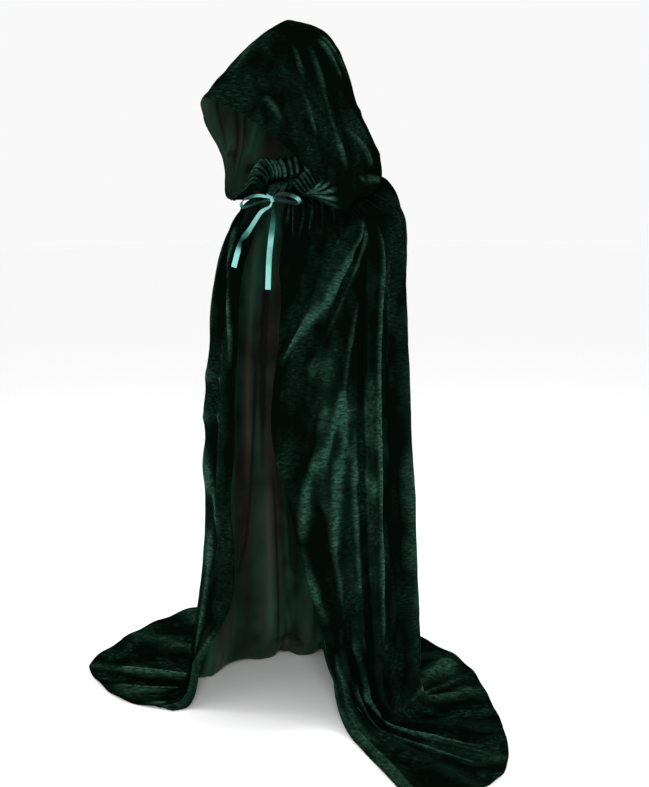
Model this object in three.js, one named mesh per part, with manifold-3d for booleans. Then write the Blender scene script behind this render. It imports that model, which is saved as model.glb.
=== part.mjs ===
// A hooded velvet cloak, worn open with the hood up and its hem trailing on the floor, in millimetres.
// +Z is up, the wearer faces -Y and the wearer's left is +X. The origin is the middle of the neckline.
// Heights in the tables are above the floor, and the whole cloak is lowered to the origin at the end.
import * as THREE from "three";
import Module from "manifold-3d";

const NECK_HEIGHT = 1320; // the neckline's middle above the floor
const CLOTH = 2; // velvet, from its back to the tips of the pile
const SEAM_GAP = 0.3; // between two panels that are sewn together
const SIDE_SEAM = 97; // degrees round from the centre back to each side seam
const PANEL_GATHERS = 6; // gathers that the drawn ribbon puts in each body panel
const HOOD_GATHERS = 14; // on each half of the hood, in its stand and over the crest
const GATHER_DEPTH = 3.2; // of the hood's gathers
const NECK_SEAM = 0.8; // the hood's lower edge above the body's neckline
const CORNER_RISE = 1.8; // how much higher its front corners are, where it lies on the body's top edge
const HOOD_SAG = 1.3; // exponent of a hood row's run from the side to the front edge
const STAND_SAG = 3; // the same for the stand, whose crest stays high and drops close to the edge
const TRAIN_RIPPLE = 5; // height of the small waves that run out to the hem
const RIBBON_THICK = 1.2;
const SQUARENESS = 2.9; // exponent of the body's rings: 2 is an ellipse

const rad = THREE.MathUtils.degToRad;
const mix = THREE.MathUtils.lerp;
const clamp = THREE.MathUtils.clamp;
const ease = (x, low, high) => THREE.MathUtils.smoothstep(x, low, high);

// A rounded ridge: 1 at its middle, 0 at and beyond one half-width from it.
const ridge = (x) => (Math.abs(x) < 1 ? 0.5 * (1 + Math.cos(Math.PI * x)) : 0);

// Turns a table's named columns and rows of numbers into objects.
function table(columns, rows) {
  const names = columns.split(" ");
  return rows.map((row) => Object.fromEntries(names.map((name, i) => [name, row[i]])));
}

// The value of one column at a fractional row, on a smooth curve through the rows.
function along(rows, column, at) {
  const last = rows.length - 1;
  const place = clamp(at, 0, last);
  const i = Math.min(Math.floor(place), last - 1);
  const f = place - i;
  const value = (k) => rows[clamp(k, 0, last)][column];
  const [a, b, c, d] = [value(i - 1), value(i), value(i + 1), value(i + 2)];
  const bend = (2 * a - 5 * b + 4 * c - d) * f * f + (3 * b - a - 3 * c + d) * f * f * f;
  return 0.5 * (2 * b + (c - a) * f + bend);
}

// The body's rings, from the neckline down to where the cloth starts to turn out onto the floor.
// half, frontR, frontL and back are the ring's reach sideways, forward on the wearer's right and left,
// and back, from its centre (cx, cy), and sideZ, frontZ and backZ its height there. rightEdge and
// leftEdge are the front edges, in degrees round from the centre back.
const RINGS = table("half frontR frontL back cx cy sideZ frontZ backZ rightEdge leftEdge", [
  [82, 96, 96, 78, 0, 0, 1330, 1288, 1364, -154, 154],
  [132, 112, 108, 120, 4, 8, 1300, 1278, 1365, -165, 162],
  [186, 135, 122, 164, 9, 16, 1266, 1258, 1364, -171, 169],
  [214, 156, 134, 176, 13, 20, 1236, 1222, 1348, -175, 172],
  [226, 169, 150, 179, 16, 22, 1202, 1174, 1306, -174, 172],
  [234, 183, 170, 178, 17, 21, 1158, 1112, 1228, -172, 171],
  [238, 192, 185, 177, 16, 18, 1088, 1035, 1125, -172, 167],
  [242, 193, 196, 176, 15, 12, 980, 935, 990, -173, 165],
  [245, 200, 202, 176, 17, 8, 842, 815, 845, -173, 168],
  [248, 209, 208, 180, 22, 5, 690, 675, 690, -174, 166],
  [251, 216, 228, 190, 28, 3, 540, 530, 540, -172, 151],
  [252, 226, 213, 200, 32, 2, 400, 395, 400, -176, 145],
  [253, 248, 189, 210, 34, 1, 280, 276, 280, -177, 141],
  [254, 268, 160, 216, 36, 0, 180, 178, 180, -168, 141],
  [256, 290, 112, 220, 36, 0, 105, 104, 105, -159, 143],
]);
const LAST_RING = RINGS.length - 1;

// The hem on the floor, at places counted across the panels: 0 is the right front edge, 1 the right
// side seam, 2 the centre back, 3 the left side seam and 4 the left front edge. turn is how far out
// the hanging cloth bends before it lies on the floor.
const HEM = table("place x y turn", [
  [0, -118, -342, 42],
  [0.25, -262, -390, 64],
  [0.5, -425, -358, 60],
  [0.75, -560, -290, 50],
  [1, -668, -110, 48],
  [1.25, -745, 85, 48],
  [1.5, -762, 290, 45],
  [1.75, -600, 500, 45],
  [2, -290, 575, 45],
  [2.25, 10, 525, 50],
  [2.5, 200, 445, 55],
  [2.75, 372, 312, 60],
  [3, 540, 166, 68],
  [3.25, 660, 34, 80],
  [3.5, 718, -80, 100],
  [3.75, 708, -195, 120],
  [4, 625, -283, 140],
]);
const HEM_STEP = 0.25;

// The long folds of the body. start and end are the ridge's place across the panels at the top and at
// the hem, width its half-width there, depth its height off the cloth, from and full the rings
// between which it grows to that depth, until and gone the rings between which it dies away.
const NEVER = 99;
const FOLDS = table("start end width depth from full until gone", [
  [0.1, 0.1, 0.13, 16, 3, 9, NEVER, NEVER],
  [0.42, 0.38, 0.14, 17, 2, 8, NEVER, NEVER],
  [0.78, 0.72, 0.15, 26, 3, 9, NEVER, NEVER],
  [1.12, 1.08, 0.14, 24, 3, 9, NEVER, NEVER],
  [1.42, 1.4, 0.13, 30, 4, 10, NEVER, NEVER],
  [1.74, 1.72, 0.14, 26, 2, 9, NEVER, NEVER],
  [2.06, 2.05, 0.13, 30, 3, 9, NEVER, NEVER],
  [2.36, 2.38, 0.14, 24, 2, 9, NEVER, NEVER],
  [2.66, 2.72, 0.14, 28, 4, 9, NEVER, NEVER],
  [2.99, 3.0, 0.12, 17, 3, 7, NEVER, NEVER],
  [3.2, 3.3, 0.15, 14, 8, 12, NEVER, NEVER],
  [3.5, 3.62, 0.17, 20, 9, 13, NEVER, NEVER],
  [3.88, 3.9, 0.12, 14, 9, 13, NEVER, NEVER],
  [3.02, 4.1, 0.17, 20, 2.2, 4.5, 7, 9.4],
  [3.0, 3.8, 0.12, 13, 3, 5, 7.4, 9.4],
  [3.0, 3.55, 0.14, 13, 6, 8, 9.4, 11.5],
]);
const SLANTED = 13; // folds from this row on run slantwise between these two rings
const SLANT_FROM = 2.5;
const SLANT_TO = 9.5;

// Where the cloth is pushed out over the wearer's bent right arm.
const ELBOW = { place: 0.52, ring: 8.4, width: 0.34, rings: 1.1, depth: 9 };

// The angle round from the centre back, in degrees, at a place across the panels on one ring.
function angleAt(place, ring) {
  const stops = [along(RINGS, "rightEdge", ring), -SIDE_SEAM, 0, SIDE_SEAM, along(RINGS, "leftEdge", ring)];
  const panel = clamp(Math.floor(place), 0, 3);
  return mix(stops[panel], stops[panel + 1], place - panel);
}

// A point of the smooth body, before its folds, on one ring.
const ringPoint = (place, ring) => ringAtAngle(rad(angleAt(place, ring)), ring);
function ringAtAngle(angle, ring) {
  const [s, c] = [Math.sin(angle), Math.cos(angle)];
  const power = 2 / mix(2, SQUARENESS, ease(ring, 0, 6));
  const reach = along(RINGS, c > 0 ? "back" : s < 0 ? "frontR" : "frontL", ring);
  const endZ = along(RINGS, c > 0 ? "backZ" : "frontZ", ring);
  return new THREE.Vector3(
    along(RINGS, "cx", ring) + along(RINGS, "half", ring) * Math.sign(s) * Math.abs(s) ** power,
    along(RINGS, "cy", ring) + reach * Math.sign(c) * Math.abs(c) ** power,
    mix(along(RINGS, "sideZ", ring), endZ, c * c),
  );
}

// How far the folds lift the cloth at a place and a ring. Rings past the last one are on the floor.
function foldLift(place, ring) {
  let lift = 0;
  FOLDS.forEach((fold, i) => {
    const run = i < SLANTED ? ring / LAST_RING : (ring - SLANT_FROM) / (SLANT_TO - SLANT_FROM);
    const middle = mix(fold.start, fold.end, clamp(run, 0, 1));
    const strength = ease(ring, fold.from, fold.full) * (1 - ease(ring, fold.until, fold.gone));
    lift += fold.depth * strength * ridge((place - middle) / fold.width);
  });
  const arm = ridge((place - ELBOW.place) / ELBOW.width) * ridge((ring - ELBOW.ring) / ELBOW.rings);
  return lift + ELBOW.depth * arm;
}

// The drawn-up gathers under the neckline, which run out over the shoulders.
function gatherLift(place, ring) {
  const strength = mix(3, 5.5, ease(ring, 1, 3)) * ease(ring, 0, 0.6) * (1 - ease(ring, 3, 6));
  return strength * Math.cos(2 * Math.PI * PANEL_GATHERS * place);
}

// The hem's point on the floor at a place across the panels.
function hemPoint(place) {
  const row = place / HEM_STEP;
  return new THREE.Vector3(along(HEM, "x", row), along(HEM, "y", row), 0);
}

const WALL_STEP = 1e-3;
const UP = new THREE.Vector3(0, 0, 1);

// The way the smooth body faces, which is the way its folds are lifted.
function outwardAt(place, ring) {
  const side = ringPoint(place + WALL_STEP, ring).sub(ringPoint(place - WALL_STEP, ring));
  const down = ringPoint(place, ring + WALL_STEP).sub(ringPoint(place, ring - WALL_STEP));
  return side.cross(down).normalize();
}

// A point of the hanging cloth with its folds.
function hangingPoint(place, ring) {
  const lift = foldLift(place, ring) + gatherLift(place, ring);
  return ringPoint(place, ring).addScaledVector(outwardAt(place, ring), lift);
}

// A point of the cloth past the last ring: run is 0 there, 1 where the bend meets the floor and 2 at the hem.
function trainPoint(place, run) {
  const foot = ringPoint(place, LAST_RING);
  const out = hemPoint(place).sub(foot).setZ(0);
  const reach = out.length();
  out.normalize();
  const turn = (Math.min(run, 1) * Math.PI) / 2;
  const flat = Math.max(run - 1, 0);
  const bend = along(HEM, "turn", place / HEM_STEP);
  const away = bend * (1 - Math.cos(turn)) + flat * (reach - bend);
  const height = mix(foot.z, CLOTH, Math.sin(turn));
  const fade = mix(1, 0.42, ease(run, 0.5, 1.3)) * mix(1, 0.15, ease(run, 1.3, 2));
  const ripple = TRAIN_RIPPLE * ease(run, 1.1, 2) * ridge(((place * 5.3) % 1) * 2 - 1);
  const lift = foldLift(place, LAST_RING) * fade + ripple;
  const bent = out.clone().multiplyScalar(Math.cos(turn)).addScaledVector(UP, Math.sin(turn));
  const normal = outwardAt(place, LAST_RING).lerp(bent, ease(run, 0, 0.6)).normalize();
  return foot.setZ(height).addScaledVector(out, away).addScaledVector(normal, lift);
}

// The whole body of the cloak: fall counts the rings down, then two more for the bend and the train.
function bodyPoint(place, fall) {
  return fall <= LAST_RING ? hangingPoint(place, fall) : trainPoint(place, fall - LAST_RING);
}

// A closed wall of cloth on a surface. point(u, v) is its outer face, with u by v turned right-handed
// towards the outside, us and vs are the places of its columns and rows, smooth is the surface that its
// thickness is set off from, and trim moves a point of either face that lies over a seam.
function clothWall(point, us, vs, { thickness = CLOTH, flip = false, smooth = point, trim = (p) => p } = {}) {
  const outer = [];
  const inner = [];
  for (const v of vs) {
    for (const u of us) {
      const du = smooth(u + WALL_STEP, v).sub(smooth(u - WALL_STEP, v));
      const dv = smooth(u, v + WALL_STEP).sub(smooth(u, v - WALL_STEP));
      const normal = du.cross(dv).normalize().multiplyScalar(flip ? -1 : 1);
      const face = point(u, v);
      inner.push(trim(face.clone().addScaledVector(normal, -thickness)));
      outer.push(trim(face));
    }
  }
  const [columns, rows] = [us.length, vs.length];
  const points = [...outer, ...inner];
  const faces = [];
  const quad = (a, b, c, d) => faces.push(...(flip ? [a, d, c, a, c, b] : [a, b, c, a, c, d]));
  const at = (i, j) => j * columns + i;
  const under = outer.length;
  for (let j = 0; j < rows - 1; j++) {
    for (let i = 0; i < columns - 1; i++) {
      quad(at(i, j), at(i + 1, j), at(i + 1, j + 1), at(i, j + 1));
      quad(under + at(i, j), under + at(i, j + 1), under + at(i + 1, j + 1), under + at(i + 1, j));
    }
  }
  for (let i = 0; i < columns - 1; i++) {
    quad(under + at(i, 0), under + at(i + 1, 0), at(i + 1, 0), at(i, 0));
    quad(at(i, rows - 1), at(i + 1, rows - 1), under + at(i + 1, rows - 1), under + at(i, rows - 1));
  }
  const end = columns - 1;
  for (let j = 0; j < rows - 1; j++) {
    quad(at(0, j), at(0, j + 1), under + at(0, j + 1), under + at(0, j));
    quad(at(end, j), under + at(end, j), under + at(end, j + 1), at(end, j + 1));
  }
  const geometry = new THREE.BufferGeometry();
  geometry.setAttribute("position", new THREE.Float32BufferAttribute(points.flatMap((p) => p.toArray()), 3));
  geometry.setIndex(faces);
  return geometry;
}

// A surface whose first or last column is drawn in from its seam by half the gap.
function seamed(point, us, ends) {
  const drawnIn = (u, v, towards) => {
    const here = point(u, v);
    return here.addScaledVector(point(towards, v).sub(here).normalize(), SEAM_GAP / 2);
  };
  const [first, last] = [us[0], us.at(-1)];
  return (u, v) => {
    if (ends.includes("first") && u === first) return drawnIn(u, v, first + 0.02);
    if (ends.includes("last") && u === last) return drawnIn(u, v, last - 0.02);
    return point(u, v);
  };
}

const evenly = (from, to, count) => Array.from({ length: count + 1 }, (_, i) => mix(from, to, i / count));

const velvet = () => new THREE.MeshStandardMaterial({ color: 0x1f3d34, roughness: 0.85, metalness: 0 });
const satin = () => new THREE.MeshStandardMaterial({ color: 0x7fbfb4, roughness: 0.35, metalness: 0 });

const cloak = new THREE.Group();
function add(name, geometry, material) {
  const mesh = new THREE.Mesh(geometry, material);
  mesh.name = name;
  mesh.position.z = -NECK_HEIGHT;
  cloak.add(mesh);
}

// The rows of each body panel: closer together over the shoulders and where the cloth meets the floor.
const FALLS = [
  ...[0, 0.5, 1, 1.5, 2, 2.5, 3, 3.5, 4, 4.75, 5.5, 6.25, 7, 8, 9, 10, 11, 12, 13, 14],
  ...[14.35, 14.7, 15, 15.22, 15.48, 15.74, 16],
];
const PANELS = table("name columns", [
  ["front_right", 20],
  ["back_right", 21],
  ["back_left", 21],
  ["front_left", 27],
]);
PANELS.forEach(({ name, columns }, k) => {
  const places = evenly(k, k + 1, columns);
  const ends = [k > 0 ? "first" : "", k < 3 ? "last" : ""];
  const cut = seamed(bodyPoint, places, ends);
  add(name, clothWall(cut, places, FALLS, { smooth: bodyPoint }), velvet());
});

// The hood's rows from the neck seam: up the gathered stand to its crest (row 3), down to the bottom
// fold that lies on the shoulders (row 5), and up over the head to the top seam (last row). Each row
// runs from a front edge (left, right), round a side (leftSide, rightSide) and on to the centre back.
const HOOD_COLUMNS =
  "leftX leftY leftZ rightX rightY rightZ leftSideX sideY leftSideZ rightSideX rightSideZ backY backZ";
const HOOD_ROWS = table(HOOD_COLUMNS, [
  [36, -87, 1299, -36, -87, 1299, 82, 0, 1331, -82, 1331, 78, 1357],
  [43, -90, 1302, -48, -90, 1302, 80, 0, 1349, -84, 1356, 76, 1384],
  [50, -94, 1303, -66, -94, 1302, 86, 2, 1363, -100, 1378, 85, 1404],
  [60, -98, 1302, -90, -97, 1300, 101, 3, 1367, -126, 1388, 101, 1411],
  [78, -102, 1298, -116, -100, 1294, 146, 0, 1334, -162, 1354, 134, 1400],
  [102, -104, 1293, -148, -101, 1288, 198, -8, 1290, -196, 1288, 170, 1378],
  [138, -100, 1308, -176, -96, 1296, 214, 0, 1310, -212, 1307, 180, 1380],
  [165, -97, 1332, -182, -98, 1320, 212, 2, 1350, -210, 1350, 180, 1396],
  [176, -142, 1353, -174, -104, 1351, 202, 0, 1394, -194, 1396, 171, 1424],
  [171, -178, 1381, -158, -124, 1384, 176, -4, 1450, -166, 1450, 150, 1472],
  [152, -216, 1418, -134, -164, 1420, 150, -8, 1515, -140, 1515, 122, 1530],
  [114, -264, 1463, -104, -220, 1460, 126, -12, 1585, -118, 1585, 112, 1598],
  [68, -290, 1490, -64, -264, 1488, 94, -20, 1652, -90, 1652, 98, 1650],
  [30, -306, 1510, -30, -298, 1506, 54, -40, 1700, -52, 1700, 76, 1686],
  [0, -312, 1519, 0, -312, 1519, 0, -45, 1720, 0, 1720, 50, 1706],
]);
const HOOD_TOP = HOOD_ROWS.length - 1;

// Where the left half's bottom fold hangs lower in front of the shoulder, and stands out to clear it.
const DROOP = { run: 0.54, width: 0.46, row: 5.3, rows: 2.2, down: 30, out: 15 };

// A point of one half of the hood: run is 0 at its front edge, 1 at the side and 2 at the centre back.
// Its first row follows the body's neckline.
function hoodPoint(isLeft, run, row) {
  const edge = RINGS[0].leftEdge;
  const angle = rad(run < 1 ? mix(edge, 90, run) : mix(90, 0, run - 1));
  const rise = NECK_SEAM + CORNER_RISE * (1 - ease(run, 0, 0.4));
  const neck = ringAtAngle(isLeft ? angle : -angle, 0).addScaledVector(UP, rise);
  const moved = neck.sub(hoodRowPoint(isLeft, run, 0)).multiplyScalar(1 - ease(row, 0, 1));
  return hoodRowPoint(isLeft, run, row).add(moved);
}

function hoodRowPoint(isLeft, run, row) {
  const half = isLeft ? "left" : "right";
  const sideX = along(HOOD_ROWS, half + "SideX", row);
  const sideY = along(HOOD_ROWS, "sideY", row);
  const sideZ = along(HOOD_ROWS, half + "SideZ", row);
  if (run < 1) {
    const w = 1 - run;
    const sag = mix(STAND_SAG, HOOD_SAG, ease(row, 2.6, 4.6));
    const droop = isLeft ? ridge((run - DROOP.run) / DROOP.width) * ridge((row - DROOP.row) / DROOP.rows) : 0;
    return new THREE.Vector3(
      mix(sideX, along(HOOD_ROWS, half + "X", row), w ** 2) + DROOP.out * droop,
      mix(sideY, along(HOOD_ROWS, half + "Y", row), w),
      mix(sideZ, along(HOOD_ROWS, half + "Z", row), w ** sag) - DROOP.down * droop,
    );
  }
  const angle = ((2 - run) * Math.PI) / 2;
  return new THREE.Vector3(
    sideX * Math.sin(angle),
    mix(sideY, along(HOOD_ROWS, "backY", row), Math.cos(angle)),
    mix(sideZ, along(HOOD_ROWS, "backZ", row), Math.cos(angle) ** 2),
  );
}

// The hood with its gathers, which stand off the smooth surface along its normal.
function gatheredHood(isLeft, run, row) {
  const here = hoodPoint(isLeft, run, row);
  const side = hoodPoint(isLeft, run + WALL_STEP, row).sub(hoodPoint(isLeft, run - WALL_STEP, row));
  const up = hoodPoint(isLeft, run, row + WALL_STEP).sub(hoodPoint(isLeft, run, row - WALL_STEP));
  const normal = side.cross(up).normalize().multiplyScalar(isLeft ? -1 : 1);
  const gone = mix(5.5, 3.6, ease(run, 0.5, 0.9)); // the gathers run on over the crest only in front
  const strength = ease(row, 0, 1) * (1 - ease(row, 2.3, gone)) * ease(run, 0.05, 0.5);
  return here.addScaledVector(normal, GATHER_DEPTH * strength * Math.cos(Math.PI * HOOD_GATHERS * run));
}

const HOOD_RUNS = evenly(0, 2, 2 * HOOD_GATHERS); // a column on each gather's top and in each hollow
const HOOD_LEVELS = [0, 0.6, 1.2, 1.8, 2.4, 3, 3.5, 4, 4.5, 5, 5.5, 6, 7, 8, 9, 10, 11, 12, 13, HOOD_TOP];
for (const isLeft of [false, true]) {
  const keep = isLeft ? 1 : -1;
  const point = (run, row) => gatheredHood(isLeft, run, row);
  const trim = (p) => p.setX(keep * Math.max(keep * p.x, SEAM_GAP / 2));
  const wall = clothWall(point, HOOD_RUNS, HOOD_LEVELS, { flip: isLeft, trim });
  add(isLeft ? "hood_left" : "hood_right", wall, velvet());
}

const solids = await Module();
solids.setup();
const { Manifold, Mesh } = solids;

const solidOf = (geometry) =>
  new Manifold(
    new Mesh({
      numProp: 3,
      vertProperties: geometry.getAttribute("position").array,
      triVerts: Uint32Array.from(geometry.index.array),
    }),
  );

function geometryOf(solid) {
  const mesh = solid.getMesh();
  const geometry = new THREE.BufferGeometry();
  geometry.setAttribute("position", new THREE.BufferAttribute(mesh.vertProperties, 3));
  geometry.setIndex(new THREE.BufferAttribute(mesh.triVerts, 1));
  return geometry;
}

// The knot: a short band of ribbon pulled round the middle, as a rounded bead.
const KNOT = { width: 15, height: 16, depth: 10, x: 7, y: -105, z: 1284 };
const bead = (grown) =>
  Manifold.sphere(0.5, 20)
    .scale([KNOT.width + 2 * grown, KNOT.depth + 2 * grown, KNOT.height + 2 * grown])
    .translate([KNOT.x, KNOT.y, KNOT.z]);
const roomForKnot = bead(SEAM_GAP);

// A flat ribbon along a table of its middle line. nx ny nz is the way its face looks there and w its
// width, which narrows to a gather where it enters the knot.
function ribbonStrip(rows, steps) {
  const last = rows.length - 1;
  const read = (keys, at) => new THREE.Vector3(...keys.map((key) => along(rows, key, at)));
  const middle = (at) => read(["x", "y", "z"], clamp(at, 0, last));
  const point = (u, v) => {
    const way = middle(v + WALL_STEP).sub(middle(v - WALL_STEP));
    const across = way.cross(read(["nx", "ny", "nz"], v)).normalize();
    return middle(v).addScaledVector(across, (u - 0.5) * along(rows, "w", v));
  };
  return clothWall(point, [0, 0.5, 1], evenly(0, last, steps), { thickness: RIBBON_THICK, flip: true });
}

// Each run of the ribbon starts or ends inside the knot and is cut back to its surface: two loops, two
// hanging tails, of which the right one turns edge-on half-way down, and the two short runs that come
// out of the neckline.
const RUNS = {
  ribbon_loop_left: table("x y z nx ny nz w", [
    [11, -107.2, 1288, 0, -0.8, 0.6, 6],
    [22, -111, 1292, 0, -0.8, 0.6, 8],
    [46, -117, 1298, 0, -0.8, 0.6, 14],
    [84, -120, 1295, 0.2, -0.8, 0.55, 15],
    [112, -117, 1285, 1, -0.3, 0.3, 15],
    [112, -112, 1274, 0.6, 0.5, -0.8, 15],
    [84, -111, 1276, 0, 0.75, -0.65, 15],
    [46, -110, 1281, 0, 0.8, -0.6, 13],
    [22, -109, 1283, 0, 0.8, -0.6, 7],
    [11, -106.5, 1283.5, 0, 0.8, -0.6, 4],
  ]),
  ribbon_loop_right: table("x y z nx ny nz w", [
    [3, -107.2, 1288, 0, -0.8, 0.6, 6],
    [-8, -111, 1291, 0, -0.8, 0.6, 8],
    [-30, -120, 1294, 0, -0.8, 0.6, 14],
    [-64, -127, 1288, -0.2, -0.8, 0.55, 15],
    [-86, -127, 1276, -1, -0.3, 0.3, 15],
    [-84, -123, 1265, -0.6, 0.5, -0.8, 15],
    [-60, -122, 1269, 0, 0.75, -0.65, 15],
    [-30, -116, 1277, 0, 0.8, -0.6, 13],
    [-9, -109, 1282, 0, 0.8, -0.6, 7],
    [3, -106.5, 1283.5, 0, 0.8, -0.6, 4],
  ]),
  ribbon_tail_right: table("x y z nx ny nz w", [
    [4.4, -105, 1279, 0, -1, 0.3, 4],
    [0.5, -109, 1267, 0, -1, 0.3, 8],
    [-9, -130, 1252, 0.1, -1, 0.2, 15],
    [-24, -155, 1209, 0.3, -1, 0.1, 15],
    [-40, -168, 1182, 1, 0.3, 0, 15],
    [-46, -174, 1155, 0.9, -0.5, 0, 15],
    [-53, -181, 1118, 0.7, -0.75, 0, 15],
  ]),
  ribbon_tail_left: table("x y z nx ny nz w", [
    [9.6, -105, 1279, 0.1, -1, 0.2, 4],
    [13, -109, 1267, 0.2, -1, 0.2, 8],
    [24, -119, 1232, 0.4, -0.9, 0.1, 15],
    [31, -133, 1184, 0.7, -0.7, 0, 15],
    [43, -150, 1136, 0.6, -0.8, 0, 15],
    [59, -168, 1067, 0.7, -0.7, 0, 15],
  ]),
  ribbon_neck_left: table("x y z nx ny nz w", [
    [36.2, -86.8, 1295, 0.5, -0.7, 0.6, 9],
    [28, -92, 1293, 0.4, -0.8, 0.6, 9],
    [18, -97.5, 1290, 0.2, -0.8, 0.6, 7],
    [9, -102.5, 1287.5, 0, -0.8, 0.6, 5],
  ]),
  ribbon_neck_right: table("x y z nx ny nz w", [
    [-34, -89.1, 1295.5, -0.5, -0.7, 0.6, 9],
    [-24, -93, 1293, -0.4, -0.8, 0.6, 9],
    [-7, -98.5, 1290, -0.2, -0.8, 0.6, 7],
    [5, -102.5, 1287.5, 0, -0.8, 0.6, 5],
  ]),
};
const STEPS_PER_ROW = 3;
for (const [name, rows] of Object.entries(RUNS)) {
  const strip = solidOf(ribbonStrip(rows, (rows.length - 1) * STEPS_PER_ROW));
  add(name, geometryOf(strip.subtract(roomForKnot)), satin());
}
add("ribbon_knot", geometryOf(bead(0)), satin());

export default cloak;
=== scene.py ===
# %% [markdown]
# # A hooded velvet cloak with a ribbon drawn through its neckline
#
# The cloak is worn by nobody, yet it keeps the shape that a wearer gave it: the hood is up, the front
# hangs open, one bent arm has left a bump on the right, and the hem trails over the floor. It is sewn
# from four body panels and a hood in two halves. Here each panel becomes a fine sheet that follows the
# same sizes as its solid, and then gets the creases that only a render needs. This first step loads the
# solids, so that every sheet can take the place of one of them.

import math

import bmesh
import bpy
import numpy as np
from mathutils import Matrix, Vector, noise


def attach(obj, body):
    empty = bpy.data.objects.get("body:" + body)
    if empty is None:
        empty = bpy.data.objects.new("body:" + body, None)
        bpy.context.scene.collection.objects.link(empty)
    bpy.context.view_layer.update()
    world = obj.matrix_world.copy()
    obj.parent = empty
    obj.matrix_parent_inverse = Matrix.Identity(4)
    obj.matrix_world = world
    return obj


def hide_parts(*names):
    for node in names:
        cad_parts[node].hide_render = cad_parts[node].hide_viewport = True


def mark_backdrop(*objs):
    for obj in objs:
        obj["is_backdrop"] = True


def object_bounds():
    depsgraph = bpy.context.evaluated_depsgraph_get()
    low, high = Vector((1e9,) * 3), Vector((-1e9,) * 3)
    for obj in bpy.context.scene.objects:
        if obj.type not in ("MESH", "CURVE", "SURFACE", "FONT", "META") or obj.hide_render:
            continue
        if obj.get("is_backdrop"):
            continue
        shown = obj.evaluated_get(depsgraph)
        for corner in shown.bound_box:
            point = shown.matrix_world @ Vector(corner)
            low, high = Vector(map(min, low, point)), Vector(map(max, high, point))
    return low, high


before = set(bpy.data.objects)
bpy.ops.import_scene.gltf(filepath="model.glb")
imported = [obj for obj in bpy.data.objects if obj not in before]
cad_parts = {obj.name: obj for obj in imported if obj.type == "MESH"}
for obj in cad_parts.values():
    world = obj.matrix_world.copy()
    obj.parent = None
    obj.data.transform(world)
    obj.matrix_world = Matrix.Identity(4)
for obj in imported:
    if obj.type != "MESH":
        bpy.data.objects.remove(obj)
cad_box = [list(corner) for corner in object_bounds()]
print("solids from", [round(v, 3) for v in cad_box[0]], "to", [round(v, 3) for v in cad_box[1]])

# %% [markdown]
# ## Sizes
#
# Velvet is a woven back with a cut pile standing on it, about 2 mm in all. Heights in the tables are
# in millimetres above the floor, because that is how a maker measures a hanging cloak, and the origin
# of the scene is the middle of the neckline. Naming each size once means that a wider ribbon or a
# longer body is one edit.

# %% Name the sizes, in millimetres
MM = 0.001
NECK_HEIGHT = 1320  # the neckline's middle above the floor
CLOTH = 2.0  # velvet with its pile
SIDE_SEAM = 97  # degrees round from the centre back to each side seam
PANEL_GATHERS = 6  # in each panel
HOOD_GATHERS = 14  # in each half of the hood
FINE_GATHERS = 23  # between the others, in each panel
FLAP_GATHERS, FAN_RIBS = 15, 18  # fine ones on the hood's flaps, and ribs round its front corner
CASING, CASING_STITCH = 9, 18  # the ribbon's casing and its stitching, so far below the neckline
NECK_FACING, HOOD_FACING = 1.2, 5.2  # the ring and the row up to which the cloth is turned over
GATHER_DEPTH = 3.2
NECK_SEAM = 0.8  # the hood starts this much above the body
CORNER_RISE = 1.8  # and this much more at its front corners
HOOD_SAG, STAND_SAG = 1.3, 3  # powers: a higher one keeps a row low for longer behind its front edge
TRAIN_RIPPLE = 5
SQUARENESS = 2.9  # a power: 2 makes the rings round, more makes them square
SEAM_LAP = 0.3  # sewn edges lap by this much, so that no light comes through a seam
HEM_WIDTH = 16  # the turned hem along the floor and down both front edges
print("the neckline is", NECK_HEIGHT * MM, "m above the floor")

# %% [markdown]
# ## Reading smooth curves from short tables
#
# A dressmaker draws a long curve through a few measured points. The same is done here: a table has a
# few rows with named columns, and `along` reads a column between its rows on a smooth curve. All of it
# works on whole arrays, so that thousands of points of cloth are found at once.

# %% Read tables, and shape ridges
def named(columns, rows):
    """The rows of a table, each with its numbers by name."""
    lines = rows.strip().splitlines()
    return [dict(zip(columns.split(), (float(number) for number in line.split()))) for line in lines]


def table(columns, rows):
    """The columns of a table by name, to be read between its rows."""
    rows = named(columns, rows)
    return {name: np.array([row[name] for row in rows]) for name in columns.split()}


def along(rows, column, at):
    values = rows[column]
    last = len(values) - 1
    at = np.clip(np.asarray(at, float), 0, last)
    i = np.minimum(np.floor(at).astype(int), last - 1)
    f = at - i
    a, b, c, d = (values[np.clip(i + k, 0, last)] for k in (-1, 0, 1, 2))
    bend = (2 * a - 5 * b + 4 * c - d) * f**2 + (3 * b - a - 3 * c + d) * f**3
    return 0.5 * (2 * b + (c - a) * f + bend)


def mix(a, b, t):
    return a + (b - a) * t


def ease(x, low, high):
    t = np.clip((x - low) / (high - low), 0, 1)
    return t * t * (3 - 2 * t)


def ridge(x):
    return np.where(np.abs(x) < 1, 0.5 * (1 + np.cos(np.pi * np.clip(x, -1, 1))), 0)


def unit(v):
    return v / np.maximum(np.linalg.norm(v, axis=-1, keepdims=True), 1e-9)


def stack(x, y, z):
    return np.stack(np.broadcast_arrays(x, y, z), axis=-1).astype(float)


print("a ridge is", float(ridge(0.0)), "high at its middle and", float(ridge(1.0)), "at its foot")

# %% [markdown]
# ## The body's shape
#
# The body hangs from the neckline over the shoulders and falls to the floor in rings. `place` counts
# across the cloth: 0 is the right front edge, 1 the right side seam, 2 the centre back, 3 the left side
# seam and 4 the left front edge. `fall` counts the rings down, and goes on for the bend at the floor
# and the train. These are the same tables as the solids have, so that the sheet lies on its solid.

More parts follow.
